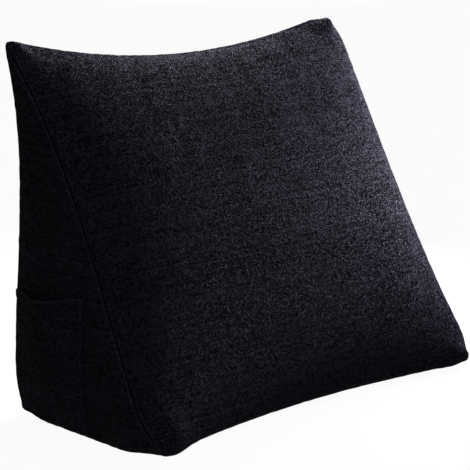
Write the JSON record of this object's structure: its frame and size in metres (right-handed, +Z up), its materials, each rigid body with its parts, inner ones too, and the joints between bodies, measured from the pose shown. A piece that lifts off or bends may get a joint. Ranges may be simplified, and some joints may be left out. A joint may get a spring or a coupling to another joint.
{
  "type": "backrest pillow",
  "caption": "Wedge-shaped backrest pillow, tightly stuffed, with a sloping front, an upright back, drawn-in seams and a hemmed patch pocket on its left side.",
  "frame": {"origin": "middle of the footprint's box, on the surface that the pillow stands on", "axes": "+X along the width towards the side without the pocket, -Y towards the person who leans on the sloping front, +Z up"},
  "size_m": [0.4844, 0.2232, 0.3616],
  "materials": {
    "cover_cloth": "matte, coarse chenille weave"
  },
  "bodies": {
    "root": {"cushion": "cover_cloth", "side_pocket": "cover_cloth"}
  },
  "joints": []
}
